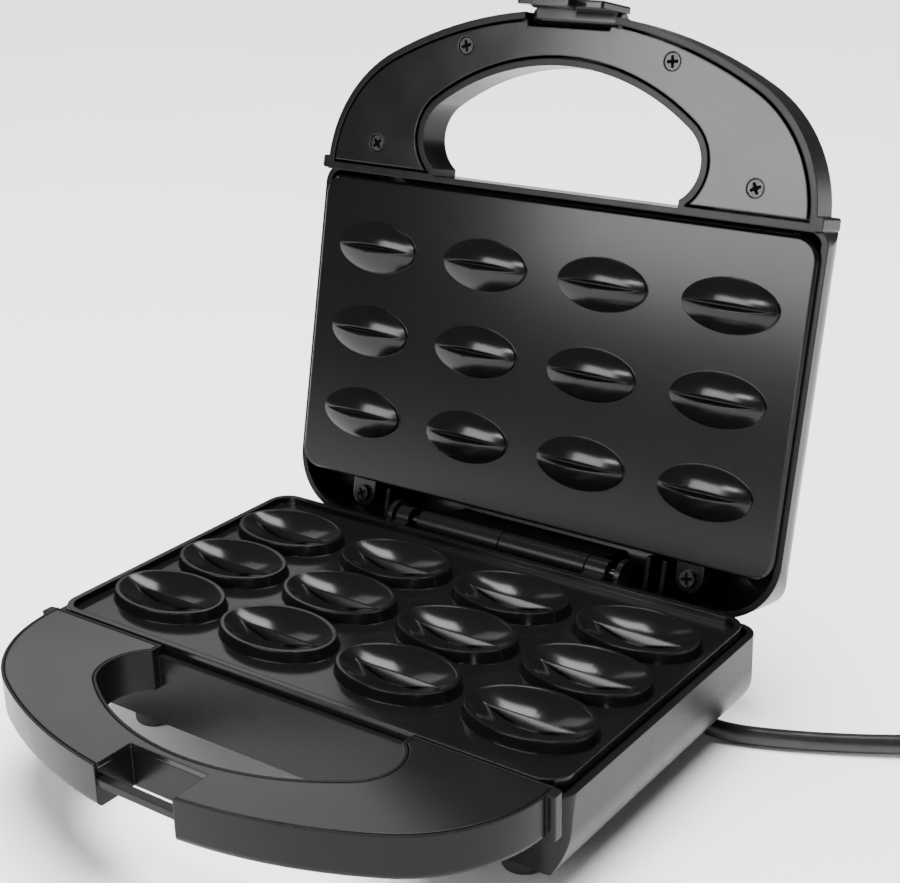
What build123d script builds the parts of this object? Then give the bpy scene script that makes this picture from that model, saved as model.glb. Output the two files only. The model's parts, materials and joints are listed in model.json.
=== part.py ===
from build123d import *
import os
from math import atan2, cos, degrees, pi, radians, sin, sqrt, tan

# Electric nut cookie maker: a base and a hinged lid, each with a cast plate, and a D-shaped handle.
# All lengths are millimetres. The working frame has z = 0 on the face of the closed upper plate,
# y = 0 on the middle row of moulds and x = 0 on the middle of the plates. The front is -Y.
# At the end everything moves so that the feet stand on z = 0 and the body is centred on x and y.

# Moulds
mould_pitch_x = 53.0
mould_pitch_y = 34.4
mould_columns = 4
mould_rows = 3
plate_gap = 0.35
cup_half_length = 22.4
cup_half_width = 14.4
cup_depth = 6.0
cup_rim_width = 1.2
cup_rim_height = 4.4
cup_rim_draft = 1.0
ridge_half_width = 2.1
ridge_half_length = 19.5
ridge_height = 4.1
dome_half_length = 19.1
dome_half_width = 10.0
dome_rise = 3.3
dome_step = 1.2
seam_gap = 0.4

# Plates
plate_thickness = 3.0
lower_plate_half_x = 108.5
lower_plate_half_y = 63.4
lip_height = 2.7
lip_width = 2.4
upper_plate_half_x = 109.5
upper_plate_half_y = 62.0
upper_face_thickness = 2.2
upper_core_thickness = 1.6
upper_inset = 2.6
upper_bevel = 1.0
lug_x = 76.5
lug_y = 68.0
lug_radius = 5.6
lug_low = 2.6
lug_thickness = 2.2
plate_corner = 8.5

# Casing
casing_half_x = 111.8
casing_front = 66.2
casing_back = 66.8
casing_wall = 2.4
casing_corner = 8.0
casing_draft = 1.3
base_rim = -5.8
base_bottom = -44.5
base_flank_radius = 26.0
base_skirt = -33.0
underside_slope = 22.0
lid_rim = 2.65
lid_top = 29.6
lid_back = 80.0
lid_back_corner = 25.0
lid_flank_radius = 24.0
lid_back_radius = 12.0
lid_front_radius = 5.0

# Handle arch, seen in plan
arch_apex = 132.8
arch_radius = 169.7
arch_shoulder_radius = 52.8
arch_half_width = 108.0
grip_apex = 112.8
grip_radius = 92.0
grip_end_radius = 15.5
grip_half_width = 61.4
grip_back_half_width = 54.5
arch_wall = 2.2
arch_back = 63.9
trough_back = casing_front + 0.8
arch_bottom_round = 2.5
arch_face_z = -2.5
arch_bottom_z = -18.0
lid_arch_face_z = -2.1
lid_arch_rim_z = -1.8
lid_arch_top_z = 13.5
cover_thickness = 2.0
lid_arch_wall = 2.6
lid_cover_groove = 1.1
lid_arch_round = 3.0
cover_rim = 1.0
cover_seam = 0.35
ear_reach = 2.6
ear_length = 5.5

# Catch and latch
notch_half_width = 16.6
notch_back = 116.4
catch_bar_front = 131.4
catch_bar_depth = 3.2
catch_bar_top = -7.7
catch_bar_height = 2.7
latch_pocket_back = 126.4
latch_pocket_half_width = 19.6
latch_plate_half_width = 18.6
latch_plate_thickness = 2.8
latch_plate_low = -10.4
latch_plate_high = 11.0
latch_tongue_half_width = 8.0
latch_hook_low = -17.0
latch_hook_high = -11.2
latch_hook_reach = 1.5
latch_to_bar = 0.8
latch_pin_radius = 1.5
latch_pin_z = 6.0
latch_hub_radius = 3.4
latch_side_gap = 0.6

# Hinge
hinge_y = 72.1
hinge_z = -2.75
hinge_x = -2.0
barrel_radius = 4.55
hinge_pin_radius = 2.0
running_clearance = 0.05
lid_barrel_half = 39.2
lid_barrel_split = 0.4
right_knuckle_length = 8.9
left_knuckle_length = 6.2
knuckle_gap = 0.5
knuckle_slack = 4.6
left_disc_gap = 0.8
right_disc_gap = 4.8
ear_disc_radius = 6.2
ear_disc_thickness = 2.2
hinge_web_front = 65.0
hinge_web_bottom = -14.0
lid_web_thickness = 3.0
stop_near = 82.5
stop_width = 4.0
stop_top = -9.4
lid_ribs = (-64.0, 59.1, 65.9)
open_angle = 102.5

# Feet
foot_x = 83.0
foot_y = 43.8
foot_pad_height = 10.0
foot_radius = 7.6
foot_height = 6.5
foot_round = 2.0
foot_stem_radius = 3.0
foot_stem_length = 4.0

# Fasteners
screw_head_radius = 3.1
screw_head_height = 1.8
screw_shank_radius = 1.6
screw_length = 9.0
plate_screw_length = 17.0
screw_clearance = 0.05
screw_well_radius = 3.5
cover_boss_radius = 3.6
shell_boss_radius = 5.5
plate_screw_x = 92.0
plate_screw_y = 50.0
post_radius = 7.0
post_neck_radius = 4.6
reflector_z = -19.0
reflector_side_gap = 10.4
reflector_half_y = 56.0
reflector_lip = 3.0
sheet = 0.6
upper_reflector_z = 15.0
standoff_x = 60.0
standoff_y = 46.0
standoff_radius = 4.0

# Electrics
heater_radius = 3.2
heater_half_x = 76.0
heater_half_y = 33.0
heater_bend = 16.0
heater_terminal_gap = 16.0
heater_bed_width = 9.0
terminal_radius = 1.5
terminal_length = 3.0
thermostat_radius = 8.0
thermostat_height = 7.0
fuse_radius = 2.2
fuse_length = 16.0
fuse_x = 30.0
lamp_radius = 3.6
lamp_spacing = 16.0
lamp_y = -40.0
lamp_flange_thickness = 1.8

# Cord: its outlet, the gland, the coil that is put away at the right, the tie and the plug
cord_radius = 3.45
outlet_x = 44.0
outlet_y = 57.0
outlet_length = 16.0
outlet_bottom = -49.0
gland_z = -43.0
gland_length = 26.0
gland_root_radius = 5.0
gland_tip_radius = 4.2
gland_grooves = 4
tie_thickness = 1.0
tie_width = 8.0
tie_clearance = 0.6
coil_inner_radius = 33.0
coil_pitch = 8.6
coil_layer = 7.8
coil_turns_in = 1.25
coil_turns = 3.25
plug_neck_tip = 4.3
plug_neck_root = 5.2
plug_neck_length = 30.0
plug_shoulder_end = 36.0
plug_body_length = 22.0
plug_width = 36.0
plug_corner = 8.0
plug_pin_radius = 2.4
plug_pin_length = 19.0
plug_pin_spacing = 19.0

floor_z = base_bottom - foot_height
plug_height = 2 * (cord_radius + tie_thickness + coil_layer)
latch_pin_y = -latch_pocket_back - latch_hub_radius - 0.5
latch_pin_half = 21.0
latch_pocket_top = 12.0


def plan_slab(half_x, front, back, low, high, front_corner, back_corner):
    """A block with vertical rounded corners; front and back are distances from y = 0."""
    outline = Pos(0, (back - front) / 2) * Rectangle(2 * half_x, front + back)
    front_points = outline.vertices().filter_by(lambda v: v.Y < 0)
    outline = fillet(front_points, front_corner)
    back_points = [v for v in outline.vertices() if v.Y > back - 0.001]
    outline = fillet(back_points, back_corner)
    return extrude(Pos(0, 0, low) * outline, high - low)


def polygon_face(points):
    return make_face(Polyline(*points, close=True))


def base_form(inset):
    """The outside of the base casing, or its cavity when inset is the wall."""
    top = base_rim if inset == 0 else 10.0
    half = casing_half_x - inset
    low = base_bottom + inset
    plan = plan_slab(half, casing_front - inset, casing_back - inset, low, top, casing_corner - inset,
                     casing_corner - inset)
    across = polygon_face([(-half, top), (half, top), (half - casing_draft, low), (casing_draft - half, low)])
    corners = [v for v in across.vertices() if v.Y < low + 0.01]
    across = fillet(corners, base_flank_radius - inset)
    across = extrude(Plane.XZ * across, 200, both=True)
    run = (base_skirt - base_bottom) / tan(radians(underside_slope))
    front = casing_front - inset
    back = casing_back - inset
    skirt = base_skirt + inset * 0.6
    along = polygon_face([(-front, top), (back, top), (back, skirt), (back - run, low), (run - front, low),
                          (-front, skirt)])
    along = extrude(Plane.YZ * along, 200, both=True)
    return plan & across & along


def lid_form(inset):
    """The outside of the closed lid's casing, or its cavity when inset is the wall."""
    low = lid_rim if inset == 0 else -10.0
    half = casing_half_x - inset
    top = lid_top - inset
    plan = plan_slab(half, casing_front - inset, lid_back - inset, low, top, casing_corner - inset,
                     lid_back_corner - inset)
    across = polygon_face([(-half, low), (half, low), (half - casing_draft, top), (casing_draft - half, top)])
    corners = [v for v in across.vertices() if v.Y > top - 0.01]
    across = fillet(corners, lid_flank_radius - inset)
    across = extrude(Plane.XZ * across, 200, both=True)
    front = casing_front - inset
    back = lid_back - inset
    along = polygon_face([(-front, low), (back, low), (back, top), (-front, top)])
    back_corner = [v for v in along.vertices() if v.Y > top - 0.01 and v.X > 0]
    along = fillet(back_corner, lid_back_radius - inset)
    front_corner = [v for v in along.vertices() if v.Y > top - 0.01 and v.X < 0]
    along = fillet(front_corner, lid_front_radius - inset)
    along = extrude(Plane.YZ * along, 200, both=True)
    return plan & across & along


def arch_face(inset, back):
    """Outline of the handle: a wide top arc, two tangent shoulder arcs and straight sides."""
    radius = arch_radius - inset
    shoulder = arch_shoulder_radius - inset
    half = arch_half_width - inset
    centre_y = arch_radius - arch_apex
    shoulder_x = half - shoulder
    shoulder_y = centre_y - sqrt((radius - shoulder) ** 2 - shoulder_x ** 2)
    turn = atan2(shoulder_x, centre_y - shoulder_y)
    meet = (radius * sin(turn), centre_y - radius * cos(turn))
    middle = (turn + radians(90)) / 2
    bulge = (shoulder_x + shoulder * sin(middle), shoulder_y - shoulder * cos(middle))
    right = [
        ThreePointArc(meet, bulge, (half, shoulder_y)),
        Line((half, shoulder_y), (half, 0)),
    ]
    left = [edge.mirror(Plane.YZ) for edge in right]
    top = ThreePointArc((-meet[0], meet[1]), (0, -arch_apex + inset), meet)
    close = Line((half, 0), (-half, 0))
    return make_face([top, close] + right + left) - Pos(0, -back / 2) * Rectangle(3 * half, back)


def grip_face(grow, back):
    """Outline of the finger opening, a D with round ends, larger by grow all round."""
    radius = grip_radius + grow
    end = grip_end_radius + grow
    half = grip_half_width + grow
    centre_y = grip_radius - grip_apex
    end_x = half - end
    end_y = centre_y - sqrt((radius - end) ** 2 - end_x ** 2)
    turn = atan2(end_x, centre_y - end_y)
    meet = (radius * sin(turn), centre_y - radius * cos(turn))
    inner_x = grip_back_half_width + grow
    inner_y = end_y + sqrt(end ** 2 - (inner_x - end_x) ** 2)
    right = [
        ThreePointArc(meet, (half, end_y), (inner_x, inner_y)),
        Line((inner_x, inner_y), (inner_x, -back)),
    ]
    left = [edge.mirror(Plane.YZ) for edge in right]
    top = ThreePointArc((-meet[0], meet[1]), (0, -grip_apex - grow), meet)
    close = Line((inner_x, -back), (-inner_x, -back))
    return make_face([top, close] + right + left)


def prism(face, low, high):
    return extrude(Pos(0, 0, low) * face, high - low)


def block(x0, x1, y0, y1, z0, z1):
    return Pos((x0 + x1) / 2, (y0 + y1) / 2, (z0 + z1) / 2) * Box(x1 - x0, y1 - y0, z1 - z0)


def rod(x, y, low, high, radius):
    return Pos(x, y, (low + high) / 2) * Cylinder(radius, high - low)


def rod_x(x0, x1, y, z, radius):
    return Pos((x0 + x1) / 2, y, z) * Rot(0, 90, 0) * Cylinder(radius, x1 - x0)


def mould_places():
    for row in range(mould_rows):
        for column in range(mould_columns):
            x = (column - (mould_columns - 1) / 2) * mould_pitch_x
            y = (row - (mould_rows - 1) / 2) * mould_pitch_y
            yield x, y


def lens(half_length, half_width, depth):
    """A turned form whose part below z = 0 is an oval dish of this size."""
    ring = (half_width ** 2 + depth ** 2) / (2 * depth)
    axis = ring - depth
    curve = ThreePointArc((-half_length, 0), (0, -depth), (half_length, 0))
    edge = Polyline((half_length, 0), (half_length, axis), (-half_length, axis), (-half_length, 0))
    face = Plane.XZ * make_face([curve, edge])
    return revolve(face, Axis((0, 0, axis), (1, 0, 0)))


def ridge(half_length, half_width, low, high, end_z):
    """A sharp ridge along X that tapers to a point at both ends."""
    left = (0, half_width, low)
    right = (0, -half_width, low)
    crest = (0, 0, high)
    faces = []
    for tip_x in (-half_length, half_length):
        tip = (tip_x, 0, end_z)
        for a, b in ((left, right), (right, crest), (crest, left)):
            faces.append(Face(Wire.make_polygon([a, b, tip])))
    solid = Solid(Shell(faces))
    return solid if solid.volume > 0 else -solid


def screw(x, y, seat, length, pointing):
    """A pan head screw whose head sits on z = seat; pointing is +1 when its tip is above the head."""
    head = rod(x, y, min(seat, seat - pointing * screw_head_height),
               max(seat, seat - pointing * screw_head_height), screw_head_radius)
    tip = seat + pointing * length
    shank = rod(x, y, min(seat, tip), max(seat, tip), screw_shank_radius)
    slot = 2.6
    drive = Box(slot, 0.8, 2.4) + Box(0.8, slot, 2.4)
    face_z = seat - pointing * screw_head_height
    return head + shank - Pos(x, y, face_z) * drive


# Heights that follow from the plates
plate_top = -plate_gap - cup_rim_height
plate_low = plate_top - plate_thickness
upper_plate_back = upper_face_thickness + upper_core_thickness
cup_rim_z = -plate_gap
ridge_crest = cup_rim_z - cup_depth + ridge_height
casing_floor = base_bottom + casing_wall
casing_roof = lid_top - casing_wall
reflector_half_x = casing_half_x - casing_wall - reflector_side_gap


def mirrored(*values):
    """Every combination of signs for these distances from the middle."""
    places = [()]
    for value in values:
        places = [place + (sign * value,) for place in places for sign in (-1, 1)]
    return places


def heater_loop(z, radius):
    """The bent tube of the heater, open at its right-hand end."""
    gap = heater_terminal_gap / 2
    path = FilletPolyline(
        (heater_half_x, gap, z),
        (heater_half_x, heater_half_y, z),
        (-heater_half_x, heater_half_y, z),
        (-heater_half_x, -heater_half_y, z),
        (heater_half_x, -heater_half_y, z),
        (heater_half_x, -gap, z),
        radius=heater_bend,
    )
    start = Plane(origin=(heater_half_x, gap, z), z_dir=(0, 1, 0))
    return sweep(start * Circle(radius), path=path)


def heater(z, pointing):
    """The heater tube with its two terminal pins, which point away from the plate."""
    tube = heater_loop(z, heater_radius)
    gap = heater_terminal_gap / 2
    tip = z + pointing * (heater_radius + terminal_length)
    for y in (-gap - heater_radius, gap + heater_radius):
        tube += rod(heater_half_x, y, min(z, tip), max(z, tip), terminal_radius)
    return tube


def heater_bed(z, plate_face):
    """The raised bed of a plate that wraps the near half of the heater tube."""
    grow = heater_bed_width / 2
    low = min(z, plate_face)
    high = max(z, plate_face)
    outer = RectangleRounded(2 * (heater_half_x + grow), 2 * (heater_half_y + grow), heater_bend + grow)
    inner = RectangleRounded(2 * (heater_half_x - grow), 2 * (heater_half_y - grow), heater_bend - grow)
    return prism(outer - inner, low, high) - heater_loop(z, heater_radius + screw_clearance)


def reflector(low, lip_up):
    """A thin sheet tray behind a plate, with its lip towards the plate."""
    tall = block(-reflector_half_x, reflector_half_x, -reflector_half_y, reflector_half_y, 0, reflector_lip)
    inside = reflector_half_x - sheet
    inside_y = reflector_half_y - sheet
    tray = tall - block(-inside, inside, -inside_y, inside_y, sheet, reflector_lip + 1)
    for x, y in mirrored(plate_screw_x, plate_screw_y):
        tray -= rod(x, y, -1, sheet + 1, screw_shank_radius + screw_clearance)
    if not lip_up:
        tray = tray.mirror(Plane.XY)
    return Pos(0, 0, low) * tray


lower_heater_z = plate_low - heater_radius
upper_heater_z = upper_plate_back + heater_radius
fuse_z = plate_low - fuse_radius - 0.8


def lower_plate():
    plate = plan_slab(lower_plate_half_x, lower_plate_half_y, lower_plate_half_y, plate_low,
                      plate_top + lip_height, plate_corner, plate_corner)
    inner = plate_corner - lip_width
    tray = plan_slab(lower_plate_half_x - lip_width, lower_plate_half_y - lip_width,
                     lower_plate_half_y - lip_width, plate_top, 5, inner, inner)
    plate -= tray
    walls = []
    dishes = []
    ridges = []
    top_x = cup_half_length + cup_rim_width
    top_y = cup_half_width + cup_rim_width
    for x, y in mould_places():
        foot = Pos(x, y, plate_top - 0.5) * Ellipse(top_x + cup_rim_draft, top_y + cup_rim_draft)
        crown = Pos(x, y, cup_rim_z) * Ellipse(top_x, top_y)
        walls.append(loft([foot, crown], ruled=True))
        dishes.append(Pos(x, y, cup_rim_z) * lens(cup_half_length, cup_half_width, cup_depth))
        low = cup_rim_z - cup_depth - 0.4
        ridges.append(Pos(x, y, 0) * ridge(ridge_half_length, ridge_half_width, low, ridge_crest,
                                           ridge_crest - 0.2))
    plate = plate + walls
    plate = plate - dishes
    plate = plate + ridges
    for x, y in mirrored(plate_screw_x, plate_screw_y):
        plate += rod(x, y, reflector_z, plate_low + 0.5, post_neck_radius)
        plate -= rod(x, y, reflector_z - 1, plate_low - 0.5, screw_shank_radius + screw_clearance)
    plate += heater_bed(lower_heater_z, plate_low)
    saddle = block(fuse_x - fuse_length / 2, fuse_x + fuse_length / 2, -4, 4, fuse_z, plate_low + 0.5)
    plate += saddle - rod_x(fuse_x - fuse_length, fuse_x + fuse_length, 0, fuse_z,
                            fuse_radius + screw_clearance)
    return plate


def upper_plate():
    plate = plan_slab(upper_plate_half_x, upper_plate_half_y, upper_plate_half_y, 0, upper_face_thickness,
                      plate_corner, plate_corner)
    plate = chamfer(plate.edges().group_by(Axis.Z)[0], upper_bevel)
    core = plan_slab(upper_plate_half_x - upper_inset, upper_plate_half_y - upper_inset,
                     upper_plate_half_y - upper_inset, 0.5, upper_plate_back,
                     plate_corner - upper_inset, plate_corner - upper_inset)
    plate += core
    domes = []
    grooves = []
    groove_tip = ridge_crest + seam_gap
    open_z = -dome_step - dome_rise - 0.7
    slope = ridge_half_width / (ridge_height + 0.4)
    groove_half = (groove_tip - open_z) * slope + seam_gap
    for x, y in mould_places():
        cap = lens(dome_half_length, dome_half_width, dome_rise)
        cap = cap & block(-40, 40, -40, 40, -10, 0)
        rim = cap.faces().sort_by(Axis.Z)[-1]
        dome = Pos(x, y, -dome_step) * (cap + extrude(rim, dome_step + 0.5, dir=(0, 0, 1)))
        domes.append(dome)
        section = Plane.YZ * polygon_face([(0, groove_tip), (groove_half, open_z), (-groove_half, open_z)])
        groove = Pos(x, y, 0) * extrude(section, dome_half_length, both=True)
        grooves.append(groove)
    plate = plate + domes
    plate = plate - grooves
    for x in (-lug_x, lug_x):
        lug = rod(x, lug_y, lug_low, lug_low + lug_thickness, lug_radius)
        neck = block(x - lug_radius, x + lug_radius, upper_plate_half_y - upper_inset - 2, lug_y, lug_low,
                     lug_low + lug_thickness)
        plate += lug + neck
        plate -= rod(x, lug_y, -5, 15, screw_shank_radius + screw_clearance)
    for x, y in mirrored(plate_screw_x, plate_screw_y):
        plate += rod(x, y, upper_plate_back - 0.5, upper_reflector_z, post_neck_radius)
        plate -= rod(x, y, upper_plate_back + 0.5, upper_reflector_z + 1,
                     screw_shank_radius + screw_clearance)
    plate += heater_bed(upper_heater_z, upper_plate_back)
    return plate


def arch_shell(low, high, wall, opening_back, round_face_low, rounding):
    """The outside of one handle half: the arch with its finger opening and the two ears at its roots."""
    arch = prism(arch_face(0, arch_back), low, high)
    rounded = arch.edges().group_by(Axis.Z)[0 if round_face_low else -1]
    rounded = rounded.filter_by(lambda edge: edge.bounding_box().min.Y < -arch_back - 1)
    arch = fillet(rounded, rounding)
    for side in (-1, 1):
        near = side * (arch_half_width - 1)
        far = side * (arch_half_width + ear_reach)
        ear = block(min(near, far), max(near, far), -arch_back - ear_length, -arch_back - 0.4, low, high)
        outer = ear.edges().filter_by(Axis.Z).sort_by(lambda edge: side * edge.center().X)[-2:]
        arch += fillet(outer, ear_reach * 0.45)
    return arch - prism(grip_face(0, opening_back), low - 1, high + 1)


def base_shell():
    arch = arch_shell(arch_bottom_z, arch_face_z, arch_wall, 60, True, arch_bottom_round)
    shell = base_form(0) + arch
    # The cord outlet stands out from the slope of the rear underside.
    shell += block(outlet_x - outlet_length, outlet_x, outlet_y - 7, outlet_y + 7, outlet_bottom, base_skirt)
    for x, y in mirrored(foot_x, foot_y):
        shell += rod(x, y, base_bottom, base_bottom + foot_pad_height, foot_radius + 0.6)
    hinge_parts = []
    for x0, x1 in base_knuckles:
        hinge_parts.append(rod_x(x0, x1, hinge_y, hinge_z, barrel_radius))
    for x0, x1 in ear_discs:
        hinge_parts.append(rod_x(x0, x1, hinge_y, hinge_z, ear_disc_radius))
    for x0, x1 in base_knuckles + ear_discs:
        hinge_parts.append(block(x0, x1, hinge_web_front, hinge_y, hinge_web_bottom, hinge_z))
    for side in (-1, 1):
        near = side * stop_near
        far = side * (stop_near + stop_width)
        stop = block(min(near, far), max(near, far), hinge_web_front, hinge_y + 6, hinge_web_bottom, stop_top)
        # The stop is trimmed to the plane that the rim of the open lid comes to rest on.
        open_rim = opened(block(-120, 120, 40, 100, lid_rim, 60))
        hinge_parts.append(stop - open_rim)
    shell += hinge_parts
    shell -= base_form(casing_wall)
    # Everything below this line stands inside the shell.
    inner = []
    for x, y in mirrored(plate_screw_x, plate_screw_y):
        inner.append(rod(x, y, base_bottom, reflector_z - sheet, post_radius) & base_form(0))
    for x, y in mirrored(foot_x, foot_y):
        inner.append(rod(x, y, base_bottom, base_bottom + foot_pad_height, foot_radius + 0.6))
    shell += inner
    for x, y in mirrored(plate_screw_x, plate_screw_y):
        shell -= rod(x, y, base_bottom - 10, plate_screw_seat, screw_well_radius)
        shell -= rod(x, y, plate_screw_seat - 1, reflector_z, screw_shank_radius + screw_clearance)
    for x, y in mirrored(foot_x, foot_y):
        shell -= rod(x, y, base_bottom - 1, base_bottom + foot_stem_length + 0.5,
                     foot_stem_radius + screw_clearance)
    # The trough of the handle, its screw bosses and the step that the cover sits on
    trough = arch_face(arch_wall, trough_back) - grip_face(arch_wall, 60)
    trough = prism(trough, arch_bottom_z + arch_wall, 0)
    trough -= block(-notch_half_width - arch_wall, notch_half_width + arch_wall, -150,
                    -notch_back + arch_wall, -30, 5)
    shell -= trough
    for x, y in lower_cover_screws:
        shell += rod(x, y, arch_bottom_z, cover_boss_bottom, shell_boss_radius)
    step = arch_face(cover_rim, arch_back + cover_rim) - grip_face(cover_rim, 60)
    shell -= prism(step, arch_face_z - cover_thickness, 0)
    for x, y in lower_cover_screws:
        shell -= rod(x, y, arch_bottom_z - 1, cover_screw_seat, screw_well_radius)
        shell -= rod(x, y, cover_screw_seat - 1, cover_boss_bottom + 1, screw_shank_radius + screw_clearance)
    shell -= block(-notch_half_width, notch_half_width, -150, -notch_back, arch_bottom_z - 5, 0)
    shell += block(-notch_half_width - 1, notch_half_width + 1, -catch_bar_front,
                   catch_bar_depth - catch_bar_front, catch_bar_top - catch_bar_height, catch_bar_top)
    # The recess at the foot of the right-hand ear
    shell -= rod_x(pin_ends[0], pin_ends[1], hinge_y, hinge_z, hinge_pin_radius + running_clearance)
    return shell


def lower_handle_cover():
    gap = cover_rim + cover_seam
    face = arch_face(gap, arch_back + gap) - grip_face(gap, 60)
    cover = prism(face, arch_face_z - cover_thickness, arch_face_z)
    cover -= block(-notch_half_width, notch_half_width, -150, -notch_back, -30, 5)
    for x, y in lower_cover_screws:
        cover += rod(x, y, cover_boss_bottom, arch_face_z - cover_thickness + 0.5, cover_boss_radius)
        cover -= rod(x, y, cover_boss_bottom - 1, arch_face_z - 1.0, screw_shank_radius + screw_clearance)
    return cover


def lid_shell():
    arch = arch_shell(lid_arch_rim_z, lid_arch_top_z, lid_arch_wall, casing_front, False, lid_arch_round)
    arch -= block(-latch_pocket_half_width, latch_pocket_half_width, -150, -latch_pocket_back, -10,
                  latch_pocket_top)
    arch -= rod_x(-latch_pin_half, latch_pin_half, latch_pin_y, latch_pin_z,
                  latch_pin_radius + running_clearance)
    shell = lid_form(0) + arch
    shell -= lid_form(casing_wall)
    trough = arch_face(lid_arch_wall, trough_back) - grip_face(lid_arch_wall, 60)
    trough = prism(trough, lid_arch_rim_z - 1, lid_arch_top_z - arch_wall)
    pocket_wall = latch_pocket_half_width + arch_wall
    trough -= block(-pocket_wall, pocket_wall, -150, -latch_pocket_back + arch_wall, 0.3, 30)
    shell -= trough
    inner = []
    for x, y in lid_cover_screws:
        inner.append(rod(x, y, cover_pad_top, lid_arch_top_z - 1, shell_boss_radius))
    for x in (-lug_x, lug_x):
        inner.append(rod(x, lug_y, lug_low + lug_thickness, casing_roof + 1, lug_radius + 0.6))
    for x, y in mirrored(standoff_x, standoff_y):
        inner.append(rod(x, y, upper_reflector_z + sheet, casing_roof + 1, standoff_radius))
    for x in lid_ribs:
        inner.append(block(x - 0.9, x + 0.9, upper_plate_half_y + 2.0, lid_back - 1.0, lid_rim,
                           casing_roof + 1))
    shell += [piece & lid_form(0) for piece in inner[len(lid_cover_screws):]]
    shell += inner[:len(lid_cover_screws)]
    hinge_parts = []
    for x0, x1 in lid_barrels:
        hinge_parts.append(rod_x(x0, x1, hinge_y, hinge_z, barrel_radius))
        middle = hinge_y
        hinge_parts.append(block(x0, x1, middle - lid_web_thickness / 2, middle + lid_web_thickness / 2,
                                 hinge_z, casing_roof + 1))
    shell += hinge_parts
    for x, y in lid_cover_screws:
        shell -= rod(x, y, cover_pad_top - 1, cover_pad_top + screw_length,
                     screw_shank_radius + screw_clearance)
    for x in (-lug_x, lug_x):
        shell -= rod(x, lug_y, lug_low, lug_low + lug_thickness + screw_length,
                     screw_shank_radius + screw_clearance)
    shell -= rod_x(pin_ends[0], pin_ends[1], hinge_y, hinge_z, hinge_pin_radius + running_clearance)
    for x in (-lamp_spacing / 2, lamp_spacing / 2):
        shell -= rod(x, lamp_y, casing_roof - 5, lid_top + 5, lamp_radius + screw_clearance)
    return shell


def lid_handle_cover():
    gap = lid_arch_wall + lid_cover_groove
    face = arch_face(gap, trough_back + lid_cover_groove) - grip_face(gap, 60)
    top = lid_arch_face_z + cover_thickness
    cover = prism(face, lid_arch_face_z, top)
    wide = latch_pocket_half_width + 1.4
    narrow = latch_pocket_half_width - 1.7
    mouth = polygon_face([(-wide, -135), (wide, -135), (narrow, -latch_pocket_back),
                          (-narrow, -latch_pocket_back)])
    cover -= prism(mouth, -10, 5)
    for x, y in lid_cover_screws:
        cover += rod(x, y, top - 0.2, cover_pad_top, shell_boss_radius)
        cover -= rod(x, y, lid_arch_face_z - 1, top, screw_well_radius)
        cover -= rod(x, y, top - 1, cover_pad_top + 1, screw_shank_radius + screw_clearance)
    return cover


def latch():
    inner_face = catch_bar_front + latch_to_bar + latch_hook_reach
    outer_face = inner_face + latch_plate_thickness
    plate = block(-latch_plate_half_width, latch_plate_half_width, -outer_face, -inner_face, latch_plate_low,
                  latch_plate_high)
    plate = fillet(plate.edges().filter_by(Axis.Y), 1.2)
    plate = fillet(plate.edges().group_by(Axis.Y)[0], 0.8)
    tongue = block(-latch_tongue_half_width, latch_tongue_half_width, -outer_face + 0.4, -inner_face,
                   latch_hook_low, latch_plate_low + 2)
    hook = Plane.YZ * polygon_face([(-inner_face - 0.5, latch_hook_low), (-inner_face + 0.6, latch_hook_low),
                                    (latch_hook_reach - inner_face, latch_hook_low + 2.0),
                                    (latch_hook_reach - inner_face, latch_hook_high),
                                    (-inner_face - 0.5, latch_hook_high)])
    hook = extrude(hook, latch_tongue_half_width, both=True)
    hub_half = latch_pocket_half_width - latch_side_gap
    hub = rod_x(-hub_half, hub_half, latch_pin_y, latch_pin_z, latch_hub_radius)
    web = block(-latch_plate_half_width + 1, latch_plate_half_width - 1, -inner_face - 0.5, latch_pin_y,
                latch_pin_z - latch_hub_radius, latch_pin_z + latch_hub_radius)
    body = plate + [tongue, hook, hub, web]
    return body - rod_x(-hub_half - 1, hub_half + 1, latch_pin_y, latch_pin_z,
                        latch_pin_radius + running_clearance)


def rubber_foot(x, y):
    foot = rod(x, y, floor_z, base_bottom, foot_radius)
    foot = fillet(foot.edges().group_by(Axis.Z)[0], foot_round)
    return foot + rod(x, y, base_bottom - 1, base_bottom + foot_stem_length, foot_stem_radius)


def lamp(x):
    lens_body = rod(x, lamp_y, casing_roof - lamp_flange_thickness - 2, lid_top + 0.6, lamp_radius)
    lens_body = fillet(lens_body.edges().group_by(Axis.Z)[-1], 0.5)
    return lens_body + rod(x, lamp_y, casing_roof - lamp_flange_thickness, casing_roof, lamp_radius + 1.5)


def opened(shape):
    """Turns a piece of the closed lid about the hinge to the open position."""
    return Pos(0, hinge_y, hinge_z) * Rot(-open_angle, 0, 0) * Pos(0, -hinge_y, -hinge_z) * shape


# Hinge stretches along X
lid_barrels = [
    (hinge_x - lid_barrel_half, hinge_x - lid_barrel_split / 2),
    (hinge_x + lid_barrel_split / 2, hinge_x + lid_barrel_half),
]
right_knuckle = hinge_x + lid_barrel_half + knuckle_gap
left_knuckle = hinge_x - lid_barrel_half - knuckle_slack
base_knuckles = [
    (left_knuckle - left_knuckle_length, left_knuckle),
    (right_knuckle, right_knuckle + right_knuckle_length),
]
pin_ends = (left_knuckle - left_knuckle_length - left_disc_gap,
            right_knuckle + right_knuckle_length + right_disc_gap)
ear_discs = [
    (pin_ends[0] - ear_disc_thickness, pin_ends[0]),
    (pin_ends[1], pin_ends[1] + ear_disc_thickness),
]
lower_cover_screws = [(-45.0, -114.0), (45.0, -114.0), (-83.0, -77.0), (83.0, -77.0)]
lid_cover_screws = [(-45.0, -117.4), (45.0, -117.4), (-83.7, -76.4), (83.7, -76.4)]
cover_boss_bottom = -12.6
cover_screw_seat = -15.2
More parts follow.
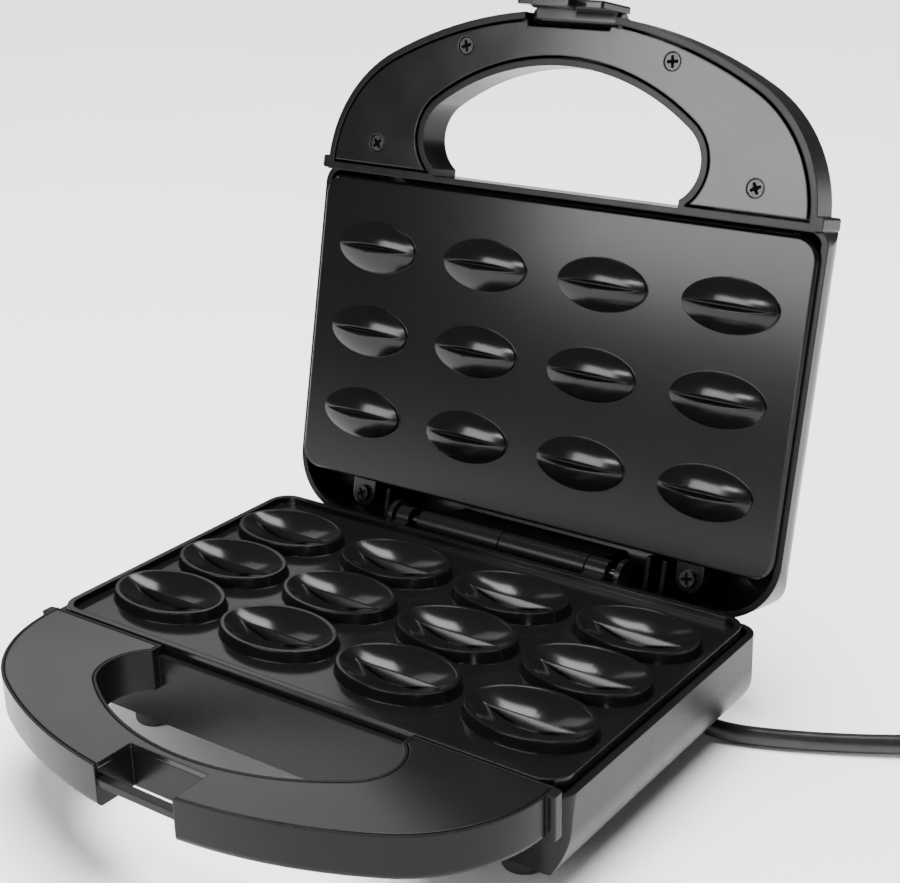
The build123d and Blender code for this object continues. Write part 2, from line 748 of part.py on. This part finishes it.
cover_pad_top = lid_arch_face_z + cover_thickness + 2.0
plate_screw_seat = reflector_z - sheet - 7.0

# Cord
cord_z = floor_z + cord_radius
gland_tip = outlet_x + gland_length
lead_points = [
    (gland_tip, outlet_y, gland_z),
    (gland_tip + 14.0, outlet_y, gland_z),
    (100.0, 59.2, cord_z),
    (120.0, 65.9, cord_z),
    (145.0, 78.3, cord_z),
    (172.0, 93.6, cord_z + tie_thickness),
    (198.0, 109.7, cord_z + tie_thickness),
]


def bend_radii(points):
    """The arc at each corner: 0.45 of its shorter run over the tangent of half the turn."""
    radii = []
    for a, b, c in zip(points, points[1:], points[2:]):
        before = Vector(b) - Vector(a)
        after = Vector(c) - Vector(b)
        turn = radians(before.get_angle(after))
        radii.append(0.45 * min(before.length, after.length) / tan(turn / 2))
    return radii


def cord_lead():
    radii = bend_radii(lead_points)
    path = FilletPolyline(*lead_points, radius=radii)
    section = Plane(origin=lead_points[0], z_dir=(1, 0, 0)) * Circle(cord_radius)
    tube = sweep(section, path=path)
    print("lead bend radii", [round(r, 1) for r in radii], "length", round(path.length, 1),
          "volume over section times length", round(tube.volume / (pi * cord_radius ** 2 * path.length), 4))
    return tube, path


def coil_point(turns):
    """The cord's centre line in the coil, after this many turns from its start on the outside."""
    if turns <= coil_turns_in:
        radius = coil_inner_radius + coil_pitch * (coil_turns_in - turns)
        rise = 0.0
    elif turns <= coil_turns_in + 0.5:
        radius = coil_inner_radius
        rise = coil_layer * (1 - cos(pi * (turns - coil_turns_in) * 2)) / 2
    else:
        radius = coil_inner_radius + coil_pitch * (turns - coil_turns_in - 0.5)
        rise = coil_layer
    angle = coil_start_angle - 2 * pi * turns
    return Vector(coil_centre[0] + radius * cos(angle), coil_centre[1] + radius * sin(angle), coil_z + rise)


def coil_tangent(turns):
    """The centre line's direction: square to the radius, and level at quarter turns outside the climb."""
    angle = coil_start_angle - 2 * pi * turns
    level = Vector(sin(angle), -cos(angle), 0)
    if turns <= coil_turns_in:
        radius = coil_inner_radius + coil_pitch * (coil_turns_in - turns)
        outward = -coil_pitch
    elif turns <= coil_turns_in + 0.5:
        radius = coil_inner_radius
        outward = 0.0
    else:
        radius = coil_inner_radius + coil_pitch * (turns - coil_turns_in - 0.5)
        outward = coil_pitch
    rise = 0.0
    if coil_turns_in < turns < coil_turns_in + 0.5:
        rise = coil_layer * pi * sin(pi * (turns - coil_turns_in) * 2)
    direction = level * (2 * pi * radius) + Vector(cos(angle), sin(angle), 0) * outward + Vector(0, 0, rise)
    return direction.normalized()


def biarc(start, start_tangent, end, end_tangent):
    """Two arcs that join two points and keep both directions."""
    chord = end - start
    total = start_tangent + end_tangent
    a = 2 * (1 - start_tangent.dot(end_tangent))
    b = 2 * chord.dot(total)
    c = -chord.dot(chord)
    reach = (-b + sqrt(b * b - 4 * a * c)) / (2 * a)
    middle = (start + start_tangent * reach + end - end_tangent * reach) * 0.5
    first = Edge.make_tangent_arc(start, start_tangent, middle)
    second = Edge.make_tangent_arc(end, -end_tangent, middle)
    return [first, second.reversed()]


def cord_coil():
    start = coil_point(0)
    end = coil_point(coil_turns)
    start_direction = coil_tangent(0)
    end_direction = coil_tangent(coil_turns)
    edges = [Edge.make_line(start - start_direction * (2 * cord_radius), start)]
    steps = round(coil_turns * 4)
    for step in range(steps):
        a = step / 4
        b = (step + 1) / 4
        edges += biarc(coil_point(a), coil_tangent(a), coil_point(b), coil_tangent(b))
    edges.append(Edge.make_line(end, end + end_direction * (2 * cord_radius)))
    path = Wire(edges)
    section = Plane(origin=edges[0].start_point(), z_dir=start_direction) * Circle(cord_radius)
    tube = sweep(section, path=path)
    samples = [path.position_at(i / 600) for i in range(601)]
    spacing = path.length / 600
    apart = int(4 * cord_radius / spacing) + 1
    nearest = min((samples[i] - samples[j]).length for i in range(601) for j in range(i + apart, 601))
    print("coil least gap to itself", round(nearest - 2 * cord_radius, 2), "length", round(path.length, 1),
          "volume over section times length", round(tube.volume / (pi * cord_radius ** 2 * path.length), 4))
    return tube, path


def gland():
    boot = Plane(origin=(outlet_x, outlet_y, gland_z), z_dir=(1, 0, 0))
    cone = loft([boot * Circle(gland_root_radius), boot.offset(gland_length) * Circle(gland_tip_radius)])
    for ring in range(gland_grooves):
        at = outlet_x + 5.0 + ring * 4.0
        cone -= rod_x(at, at + 1.4, outlet_y, gland_z, gland_root_radius + 1) - rod_x(at, at + 1.4,
                                                                                      outlet_y, gland_z,
                                                                                      cord_radius + 0.35)
    return cone


def placed_along(origin, direction):
    """A frame whose Z runs along a level direction and whose Y is up."""
    return Plane(origin=origin, x_dir=Vector(0, 0, 1).cross(direction), z_dir=direction)


def plug_body(origin, direction):
    """A moulded two-pin plug that lies on its broad side, with its neck towards the cord."""
    frame = placed_along(origin, direction)
    neck = loft([frame * Circle(plug_neck_tip), frame.offset(plug_neck_length) * Circle(plug_neck_root)])
    shoulder = loft([frame.offset(plug_neck_length) * RectangleRounded(2 * plug_neck_root,
                                                                       2 * plug_neck_root, 4.9),
                     frame.offset(plug_shoulder_end) * RectangleRounded(plug_width, plug_height,
                                                                        plug_corner)], ruled=True)
    body = extrude(frame.offset(plug_shoulder_end) * RectangleRounded(plug_width, plug_height, plug_corner),
                   plug_body_length)
    return neck + shoulder + body


def plug_pins(origin, direction):
    frame = placed_along(origin, direction)
    start = plug_shoulder_end + plug_body_length
    pins = []
    for side in (-1, 1):
        place = frame.offset(start) * Pos(side * plug_pin_spacing / 2, 0, 0)
        pin = extrude(place * Circle(plug_pin_radius), plug_pin_length)
        pins.append(fillet(pin.edges().filter_by(GeomType.CIRCLE).sort_by(
            lambda edge: (edge.center() - frame.origin).length)[-1:], 1.2))
    return pins


def cord_tie():
    """A flat band round the coil's turns where two of them lie over one."""
    turns = coil_turns_in - 0.5
    angle = coil_start_angle - 2 * pi * turns
    inner = coil_inner_radius - cord_radius - tie_clearance
    outer = coil_inner_radius + coil_pitch + cord_radius + tie_clearance
    low = coil_z - cord_radius
    high = coil_z + coil_layer + cord_radius + tie_clearance
    band = block(inner - tie_thickness, outer + tie_thickness, -tie_width / 2, tie_width / 2,
                 low - tie_thickness, high + tie_thickness)
    band -= block(inner, outer, -tie_width, tie_width, low, high)
    return Pos(coil_centre[0], coil_centre[1], 0) * Rot(0, 0, degrees(angle)) * band


lead, lead_path = cord_lead()
heading = Vector(lead_points[-1]) - Vector(lead_points[-2])
heading = Vector(heading.X, heading.Y, 0).normalized()
coil_start_radius = coil_inner_radius + coil_pitch * coil_turns_in
coil_slant = atan2(coil_pitch, 2 * pi * coil_start_radius)
coil_start_angle = atan2(heading.Y, heading.X) + pi / 2 + coil_slant
coil_start = Vector(lead_points[-1]) + heading * (2 * cord_radius)
coil_centre = (coil_start.X - coil_start_radius * cos(coil_start_angle),
               coil_start.Y - coil_start_radius * sin(coil_start_angle))
coil_z = lead_points[-1][2]
coil, coil_path = cord_coil()
plug_direction = coil_tangent(coil_turns)
plug_origin = coil_point(coil_turns) + plug_direction * (2 * cord_radius)
print("cord length from gland to plug", round(lead_path.length + coil_path.length, 1))

screws_lower_cover = [screw(x, y, cover_screw_seat, screw_length, 1) for x, y in lower_cover_screws]
screws_lower_plate = [screw(x, y, plate_screw_seat, plate_screw_length, 1)
                      for x, y in mirrored(plate_screw_x, plate_screw_y)]
screws_lid_cover = [screw(x, y, lid_arch_face_z + cover_thickness, screw_length, 1) for x,
                    y in lid_cover_screws]
screws_lid_tabs = [screw(x, lug_y, lug_low, screw_length, 1) for x in (-lug_x, lug_x)]
screws_upper_plate = [screw(x, y, upper_reflector_z + sheet, screw_length, -1)
                      for x, y in mirrored(plate_screw_x, plate_screw_y)]

base_nodes = {
    "base_shell": base_shell(),
    "lower_handle_cover": lower_handle_cover(),
    "lower_handle_screws": screws_lower_cover,
    "lower_plate": lower_plate(),
    "lower_plate_screws": screws_lower_plate,
    "lower_heater": heater(lower_heater_z, -1),
    "lower_reflector": reflector(reflector_z - sheet, True),
    "thermostat": rod(0, 0, plate_low - thermostat_height, plate_low, thermostat_radius),
    "thermal_fuse": rod_x(fuse_x - fuse_length / 2, fuse_x + fuse_length / 2, 0, fuse_z, fuse_radius),
    "terminal_block": block(45, 75, 3, 17, casing_floor, casing_floor + 12),
    "rubber_feet": [rubber_foot(x, y) for x, y in mirrored(foot_x, foot_y)],
    "hinge_pin": rod_x(pin_ends[0], pin_ends[1], hinge_y, hinge_z, hinge_pin_radius),
    "cord_gland": gland(),
}
lid_nodes = {
    "lid_shell": lid_shell(),
    "lid_handle_cover": lid_handle_cover(),
    "lid_handle_screws": screws_lid_cover,
    "lid_tab_screws": screws_lid_tabs,
    "upper_plate": upper_plate(),
    "upper_plate_screws": screws_upper_plate,
    "upper_heater": heater(upper_heater_z, 1),
    "upper_reflector": reflector(upper_reflector_z + sheet, False),
    "power_lamp": lamp(-lamp_spacing / 2),
    "ready_lamp": lamp(lamp_spacing / 2),
    "latch": latch(),
    "latch_pin": rod_x(-latch_pin_half, latch_pin_half, latch_pin_y, latch_pin_z, latch_pin_radius),
}
cord_nodes = {
    "power_cord_lead": lead,
    "power_cord_coil": coil,
    "cord_tie": cord_tie(),
    "plug_body": plug_body(plug_origin, plug_direction),
    "plug_pins": plug_pins(plug_origin, plug_direction),
}


def pieces(shape):
    """The separate solids of a node, whether it is one shape or a list."""
    shapes = shape if isinstance(shape, list) else [shape]
    return [solid for item in shapes for solid in item.solids()]


nodes = {name: pieces(shape) for name, shape in base_nodes.items()}
nodes.update({name: [opened(solid) for solid in pieces(shape)] for name, shape in lid_nodes.items()})
body_box = Compound([solid for solids in nodes.values() for solid in solids]).bounding_box()
nodes.update({name: pieces(shape) for name, shape in cord_nodes.items()})
shift = Vector(-body_box.center().X, -body_box.center().Y, -floor_z)
print("shift to the part's frame", shift, "body box", body_box.size)

os.makedirs("parts", exist_ok=True)
for name, solids in nodes.items():
    placed = [solid.moved(Location(shift)) for solid in solids]
    export_step(Compound(placed) if len(placed) > 1 else placed[0], f"parts/{name}.step")
    print(name, len(placed), round(sum(solid.volume for solid in placed)))
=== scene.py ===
import json
from math import atan2, cos, pi, radians, sin

import bpy
from mathutils import Matrix, Vector


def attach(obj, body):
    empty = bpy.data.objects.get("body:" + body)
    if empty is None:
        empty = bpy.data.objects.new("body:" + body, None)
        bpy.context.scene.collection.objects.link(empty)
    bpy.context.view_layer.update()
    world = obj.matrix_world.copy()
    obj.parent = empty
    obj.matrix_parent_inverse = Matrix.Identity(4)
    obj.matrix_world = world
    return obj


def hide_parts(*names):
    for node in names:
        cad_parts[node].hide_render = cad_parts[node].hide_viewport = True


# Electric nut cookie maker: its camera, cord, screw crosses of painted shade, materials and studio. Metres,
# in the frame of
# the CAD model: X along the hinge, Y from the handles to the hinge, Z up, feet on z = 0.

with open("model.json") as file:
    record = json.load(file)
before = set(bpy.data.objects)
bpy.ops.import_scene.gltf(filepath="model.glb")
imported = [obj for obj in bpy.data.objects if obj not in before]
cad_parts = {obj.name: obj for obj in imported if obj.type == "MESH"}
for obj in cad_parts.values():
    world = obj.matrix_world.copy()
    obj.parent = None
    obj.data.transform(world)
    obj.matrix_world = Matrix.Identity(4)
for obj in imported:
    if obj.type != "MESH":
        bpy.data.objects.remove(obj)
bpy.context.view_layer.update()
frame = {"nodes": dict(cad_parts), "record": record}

# The photograph's view
view_azimuth = radians(35.96)
view_elevation = radians(21.11)
view_roll = radians(-1.312)
camera_place = Vector((0.3338, -0.42533, 0.3232))
camera_lens_mm = 66.81
sensor_width_mm = 36.0
nearest_seen = 0.01
farthest_seen = 20.0

# The cord: its run from the gland to the coil, in the CAD source's working frame, then a coil of two layers
working_to_row = Vector((0.0, -0.000333, 0.051))
cord_diameter = 0.0069
lead_route_mm = [
    (70.0, 57.0, -43.0), (84.0, 57.0, -43.0), (100.0, 59.2, -47.55), (120.0, 65.9, -47.55),
    (145.0, 78.3, -47.55), (172.0, 93.6, -46.55), (198.0, 109.7, -46.55),
]
coil_inner_radius = 0.033
coil_pitch = 0.0086
coil_layer = 0.0078
coil_turns_in = 1.25
coil_turns_climbing = 0.5
coil_turns = 3.25
coil_points_per_turn = 16
cord_facets = 6
cord_curve_order = 3

# The crosses in the screw heads on the lid's inner side, which leans back by lid_lean at rest. They are
# near-black sheets of painted shade for the drive recesses.
lid_lean = radians(12.5)
lid_facing = Vector((0.0, -cos(lid_lean), sin(lid_lean)))
lid_side = Vector((1.0, 0.0, 0.0))
lid_upward = lid_facing.cross(lid_side)
head_spread = 0.009
cross_reach = 0.0023
cross_half_width = 0.0006
cross_chamfer = 0.0002
cross_end_half_width = cross_half_width * 0.55
cross_rise = 0.00003
cross_depth = 0.00012
handle_cross_turns = (0.3, 0.12, 0.7, 0.45)
tab_cross_turns = (0.5, 0.2)

# What the materials share
noise_low = 0.3
noise_high = 0.7
ramp_start = 0.35
ramp_end = 0.65
bevel_samples = 4
plastic_ior = 1.5
lens_ior = 1.49
small_edge = 0.0002

# The studio
floor_size = 12.0
floor_drop = 0.0002
floor_roughness = 0.9
world_strength = 0.12
sun_towards = (0.12, 0.05, 1.0)
sun_spread = radians(40)
sun_strength = 9.0
lid_aim = (0.0, 0.08, 0.16)


def add_object(name, data):
    made = bpy.data.objects.new(name, data)
    bpy.context.scene.collection.objects.link(made)
    return made


def make_camera():
    data = bpy.data.cameras.new("camera")
    camera = add_object("camera", data)
    back = Vector((sin(view_azimuth) * cos(view_elevation), -cos(view_azimuth) * cos(view_elevation),
                   sin(view_elevation)))
    level = Vector((cos(view_azimuth), sin(view_azimuth), 0.0))
    upright = back.cross(level)
    right = cos(view_roll) * level + sin(view_roll) * upright
    up = cos(view_roll) * upright - sin(view_roll) * level
    turn = Matrix((right, up, back)).transposed().to_4x4()
    camera.matrix_world = Matrix.Translation(camera_place) @ turn
    data.sensor_fit = "HORIZONTAL"
    data.sensor_width = sensor_width_mm
    data.lens = camera_lens_mm
    data.clip_start = nearest_seen
    data.clip_end = farthest_seen
    bpy.context.scene.camera = camera


# Cord


def row_point(point_mm):
    """A point of the CAD source's working frame, in metres in the row frame."""
    return Vector(point_mm) / 1000 + working_to_row


def coil_route(lead):
    """The coil's centre line: clockwise inwards, up to the second layer, then outwards again."""
    heading = lead[-1] - lead[-2]
    heading.z = 0.0
    heading.normalize()
    start_radius = coil_inner_radius + coil_pitch * coil_turns_in
    start_angle = atan2(heading.y, heading.x) + pi / 2 + atan2(coil_pitch, 2 * pi * start_radius)
    start = lead[-1] + heading * cord_diameter
    centre = start - start_radius * Vector((cos(start_angle), sin(start_angle), 0.0))
    points = []
    steps = round(coil_turns * coil_points_per_turn)
    for step in range(steps + 1):
        turns = step / coil_points_per_turn
        climb = min(max((turns - coil_turns_in) / coil_turns_climbing, 0.0), 1.0)
        if turns <= coil_turns_in:
            radius = coil_inner_radius + coil_pitch * (coil_turns_in - turns)
        else:
            radius = coil_inner_radius + coil_pitch * max(turns - coil_turns_in - coil_turns_climbing, 0.0)
        rise = coil_layer * (1 - cos(pi * climb)) / 2
        angle = start_angle - 2 * pi * turns
        points.append(centre + Vector((radius * cos(angle), radius * sin(angle), rise)))
    ahead = (points[-1] - points[-2]).normalized()
    ahead.z = 0.0
    return points, points[-1] + ahead * cord_diameter


def make_cord(sheath):
    lead = [row_point(point) for point in lead_route_mm]
    turns, end = coil_route(lead)
    route = lead + turns + [end]
    data = bpy.data.curves.new("power_cord", "CURVE")
    data.dimensions = "3D"
    data.bevel_depth = cord_diameter / 2
    data.bevel_resolution = cord_facets
    data.resolution_u = cord_facets
    data.use_fill_caps = True
    spline = data.splines.new("NURBS")
    spline.points.add(len(route) - 1)
    for point, place in zip(spline.points, route):
        point.co = (*place, 1.0)
    spline.order_u = cord_curve_order
    spline.use_endpoint_u = True
    cord = add_object("power_cord", data)
    data.materials.append(sheath)
    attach(cord, "base")
    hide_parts("power_cord_lead", "power_cord_coil")


# Screw heads


def head_centres(node):
    """The middle of each screw head of a node, on the plane of the heads."""
    points = [node.matrix_world @ vertex.co for vertex in node.data.vertices]
    groups = []
    for point in points:
        flat = point - lid_facing * point.dot(lid_facing)
        for group in groups:
            if (group[0] - flat).length < head_spread:
                group.append(flat)
                break
        else:
            groups.append([flat])
    top = max(point.dot(lid_facing) for point in points)
    centres = []
    for group in groups:
        low = Vector([min(point[axis] for point in group) for axis in range(3)])
        high = Vector([max(point[axis] for point in group) for axis in range(3)])
        centres.append((low + high) / 2 + lid_facing * top)
    return centres


def turned(x, y, angle):
    return x * cos(angle) - y * sin(angle), x * sin(angle) + y * cos(angle)


def cross_outline():
    """The corners of a cross with four equal arms and chamfered ends, anticlockwise."""
    arm = (
        (cross_reach - cross_chamfer, -cross_half_width),
        (cross_reach, -cross_end_half_width),
        (cross_reach, cross_end_half_width),
        (cross_reach - cross_chamfer, cross_half_width),
        (cross_half_width, cross_half_width),
    )
    return [turned(x, y, quarter * pi / 2) for quarter in range(4) for x, y in arm]


def make_screw_crosses(name, node_name, turns, shade):
    """Near-black crosses on the heads of the lid's screws, painted shade for the shadow in their drive
    recesses, one turned differently from the next.
    """
    outline = cross_outline()
    count = len(outline)
    vertices, faces = [], []
    for centre, turn in zip(head_centres(frame["nodes"][node_name]), turns):
        first = len(vertices)
        for level in (cross_rise, -cross_depth):
            for x, y in outline:
                across, along = turned(x, y, turn)
                vertices.append(centre + lid_side * across + lid_upward * along + lid_facing * level)
        faces.append([first + i for i in range(count)])
        faces.append([first + count + i for i in reversed(range(count))])
        for i in range(count):
            after = (i + 1) % count
            faces.append([first + i, first + count + i, first + count + after, first + after])
    mesh = bpy.data.meshes.new(name)
    mesh.from_pydata(vertices, [], faces)
    mesh.update()
    crosses = add_object(name, mesh)
    mesh.materials.append(shade)
    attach(crosses, "lid")


# Materials


class Look:
    """A material's node tree, with short calls for the nodes that the looks below share."""

    def __init__(self, name):
        self.material = bpy.data.materials.new(name)
        self.material.use_nodes = True
        self.tree = self.material.node_tree
        self.surface = self.tree.nodes["Principled BSDF"]
        coordinates = self.tree.nodes.new("ShaderNodeTexCoord")
        self.place = coordinates.outputs["Object"]

    def link(self, source, node, socket):
        self.tree.links.new(source, node.inputs[socket])

    def noise(self, scale, detail=3.0):
        node = self.tree.nodes.new("ShaderNodeTexNoise")
        node.inputs["Scale"].default_value = scale
        node.inputs["Detail"].default_value = detail
        self.link(self.place, node, "Vector")
        return node.outputs["Fac"]

    def tint(self, source, first, second):
        """The base colour, from first to second as the source rises."""
        node = self.tree.nodes.new("ShaderNodeValToRGB")
        node.color_ramp.elements[0].position = ramp_start
        node.color_ramp.elements[1].position = ramp_end
        node.color_ramp.elements[0].color = (*first, 1.0)
        node.color_ramp.elements[1].color = (*second, 1.0)
        self.link(source, node, "Fac")
        self.link(node.outputs["Color"], self.surface, "Base Color")

    def roughen(self, source, low, high):
        """The roughness, from low to high as the source rises."""
        node = self.tree.nodes.new("ShaderNodeMapRange")
        node.inputs["From Min"].default_value = noise_low
        node.inputs["From Max"].default_value = noise_high
        node.inputs["To Min"].default_value = low
        node.inputs["To Max"].default_value = high
        self.link(source, node, "Value")
        self.link(node.outputs["Result"], self.surface, "Roughness")

    def relief(self, source, distance, edge):
        """Bump from a height, over edges that look rounded by the radius edge."""
        node = self.tree.nodes.new("ShaderNodeBump")
        node.inputs["Strength"].default_value = 1.0
        node.inputs["Distance"].default_value = distance
        self.link(source, node, "Height")
        rounded = self.tree.nodes.new("ShaderNodeBevel")
        rounded.samples = bevel_samples
        rounded.inputs["Radius"].default_value = edge
        self.link(rounded.outputs["Normal"], node, "Normal")
        self.link(node.outputs["Normal"], self.surface, "Normal")

    def set(self, **values):
        for name, value in values.items():
            self.surface.inputs[name.replace("_", " ")].default_value = value


def grey(value):
    return (value, value, value)


def lighter(colour, share):
    return tuple(min(value * share, 1.0) for value in colour)


def moulded_plastic(name, colour, roughness, grain, edge, sheen):
    """Satin moulded plastic: fine spark-eroded grain, slight flow marks and rounded edges."""
    look = Look(name)
    flow_marks = look.noise(scale=22.0, detail=2.0)
    sparks = look.noise(scale=2600.0, detail=2.0)
    look.tint(flow_marks, colour, lighter(colour, 1.25))
    look.roughen(look.noise(scale=60.0), *roughness)
    look.relief(sparks, grain, edge)
    look.set(IOR=plastic_ior, Specular_IOR_Level=sheen)
    return look.material


def nonstick_coating():
    """Glossy black non-stick coating with a faint orange-peel and fine flecks."""
    look = Look("nonstick_coating")
    flecks = look.noise(scale=3800.0, detail=1.0)
    look.tint(flecks, (0.002, 0.002, 0.0022), (0.005, 0.005, 0.0055))
    look.roughen(look.noise(scale=320.0), low=0.163, high=0.176)
    look.relief(look.noise(scale=420.0, detail=2.0), distance=0.000006, edge=0.0008)
    look.set(IOR=plastic_ior, Specular_IOR_Level=0.27)
    return look.material


def metal(name, colour, roughness, scratch):
    """Bare or blackened metal with patchy gloss and fine scratches."""
    look = Look(name)
    look.tint(look.noise(scale=90.0), colour, lighter(colour, 1.15))
    look.roughen(look.noise(scale=500.0), *roughness)
    look.relief(look.noise(scale=1500.0), scratch, small_edge)
    look.set(Metallic=1.0)
    return look.material


def rubber(name, colour, roughness, grain, sheen=0.5):
    """Rubber or soft plastic with a dull, finely grained skin."""
    look = Look(name)
    look.tint(look.noise(scale=120.0), colour, lighter(colour, 1.4))
    look.roughen(look.noise(scale=300.0), *roughness)
    look.relief(look.noise(scale=2200.0), grain, small_edge)
    look.set(Specular_IOR_Level=sheen)
    return look.material


def lens(name, dark, bright):
    """Clear coloured plastic of an indicator lamp."""
    look = Look(name)
    look.tint(look.noise(scale=200.0), dark, bright)
    look.roughen(look.noise(scale=900.0), low=0.06, high=0.12)
    look.set(Transmission_Weight=0.35, IOR=lens_ior)
    return look.material


def ceramic():
    """Off-white unglazed ceramic."""
    look = Look("ceramic")
    look.tint(look.noise(scale=150.0), (0.74, 0.72, 0.66), (0.82, 0.8, 0.74))
    look.roughen(look.noise(scale=400.0), low=0.3, high=0.45)
    look.relief(look.noise(scale=900.0), distance=0.00003, edge=0.0003)
    return look.material


def make_materials():
    """The material of each slot of the frame's record."""
    black = (0.004, 0.004, 0.0045)
    return {
        "casing_plastic": moulded_plastic("casing_plastic", black, roughness=(0.24, 0.31), grain=0.000010,
                                          edge=0.0007, sheen=0.15),
        "handle_plastic": moulded_plastic("handle_plastic", black, roughness=(0.15, 0.19), grain=0.000008,
                                          edge=0.0007, sheen=0.35),
        "nonstick_plate": nonstick_coating(),
        "screw_steel": metal("screw_steel", grey(0.035), roughness=(0.24, 0.36), scratch=0.00001),
        "heater_steel": metal("heater_steel", (0.35, 0.32, 0.29), roughness=(0.4, 0.55), scratch=0.00002),
        "reflector_sheet": metal("reflector_sheet", grey(0.66), roughness=(0.2, 0.32), scratch=0.00001),
        "thermostat_steel": metal("thermostat_steel", (0.5, 0.5, 0.49), roughness=(0.25, 0.35),
                                  scratch=0.00001),
        "fuse_brass": metal("fuse_brass", (0.6, 0.48, 0.26), roughness=(0.25, 0.4), scratch=0.00001),
        "terminal_ceramic": ceramic(),
        "foot_rubber": rubber("foot_rubber", grey(0.012), roughness=(0.55, 0.75), grain=0.00003),
        "red_lens": lens("red_lens", dark=(0.35, 0.01, 0.01), bright=(0.5, 0.02, 0.02)),
        "green_lens": lens("green_lens", dark=(0.01, 0.22, 0.05), bright=(0.02, 0.34, 0.08)),
        "gland_rubber": rubber("gland_rubber", grey(0.010), roughness=(0.45, 0.6), grain=0.00002),
        "cord_rubber": rubber("cord_rubber", grey(0.008), roughness=(0.28, 0.4), grain=0.00001),
        "tie_plastic": rubber("tie_plastic", grey(0.02), roughness=(0.6, 0.8), grain=0.00006),
        "plug_plastic": moulded_plastic("plug_plastic", grey(0.006), roughness=(0.3, 0.42), grain=0.00001,
                                        edge=0.0005, sheen=0.4),
        "plug_brass": metal("plug_brass", (0.72, 0.69, 0.62), roughness=(0.16, 0.26), scratch=0.000004),
    }


def dress_nodes(materials):
    slot_of = {part["node"]: part["material_slot"] for part in frame["record"]["subparts"]}
    for name, node in frame["nodes"].items():
        for place in node.material_slots:
            place.material = materials[slot_of[name]]


# Studio


def softbox(name, place, aim, width, height, power):
    data = bpy.data.lights.new(name, "AREA")
    data.shape = "RECTANGLE"
    data.size = width
    data.size_y = height
    data.energy = power
    light = add_object(name, data)
    light.location = place
    light.rotation_euler = (Vector(aim) - Vector(place)).to_track_quat("-Z", "Y").to_euler()


def make_sun():
    """A wide sun nearly overhead, for an even floor and soft shadows, left out of reflections."""
    data = bpy.data.lights.new("sun", "SUN")
    data.angle = sun_spread
    data.energy = sun_strength
    light = add_object("sun", data)
    light.rotation_euler = Vector(sun_towards).to_track_quat("Z", "Y").to_euler()
    light.visible_glossy = False


def make_floor():
    bpy.ops.mesh.primitive_plane_add(size=floor_size, location=(0.0, 0.0, -floor_drop))
    floor = bpy.context.object
    floor.name = "floor"
    paper = Look("floor_paper")
    paper.tint(paper.noise(scale=3.0), grey(0.86), grey(0.88))
    paper.set(Roughness=floor_roughness)
    floor.data.materials.append(paper.material)


def make_studio():
    world = bpy.data.worlds.new("studio")
    bpy.context.scene.world = world
    world.use_nodes = True
    backdrop = world.node_tree.nodes["Background"]
    backdrop.inputs["Color"].default_value = (1.0, 1.0, 1.0, 1.0)
    backdrop.inputs["Strength"].default_value = world_strength
    make_floor()
    make_sun()
    softbox("front", place=(-0.50, -1.45, 0.66), aim=lid_aim, width=0.85, height=0.66, power=24.0)
    softbox("front_high", place=(0.08, -1.25, 0.88), aim=lid_aim, width=0.30, height=0.20, power=5.0)
    softbox("front_low_right", place=(0.66, -1.15, 0.22), aim=(0.0, 0.08, 0.14), width=0.14, height=0.16,
            power=1.9)
    softbox("back_left", place=(-1.05, 0.75, 0.95), aim=(0.0, -0.05, 0.05), width=0.9, height=0.6, power=2.8)
    softbox("overhead", place=(-0.15, 0.30, 1.0), aim=(0.0, 0.0, 0.0), width=0.45, height=0.32, power=7.5)


make_camera()
looks = make_materials()
make_cord(looks["cord_rubber"])
# A near-black, dull material for the screw crosses: painted shade for the drive recesses.
painted_recess_shade = rubber("screw_recess_painted_shade", grey(0.0008), roughness=(0.8, 0.95), grain=0.000004, sheen=0.04)
make_screw_crosses("lid_handle_screw_crosses", "lid_handle_screws", handle_cross_turns, painted_recess_shade)
make_screw_crosses("lid_tab_screw_crosses", "lid_tab_screws", tab_cross_turns, painted_recess_shade)
dress_nodes(looks)
make_studio()
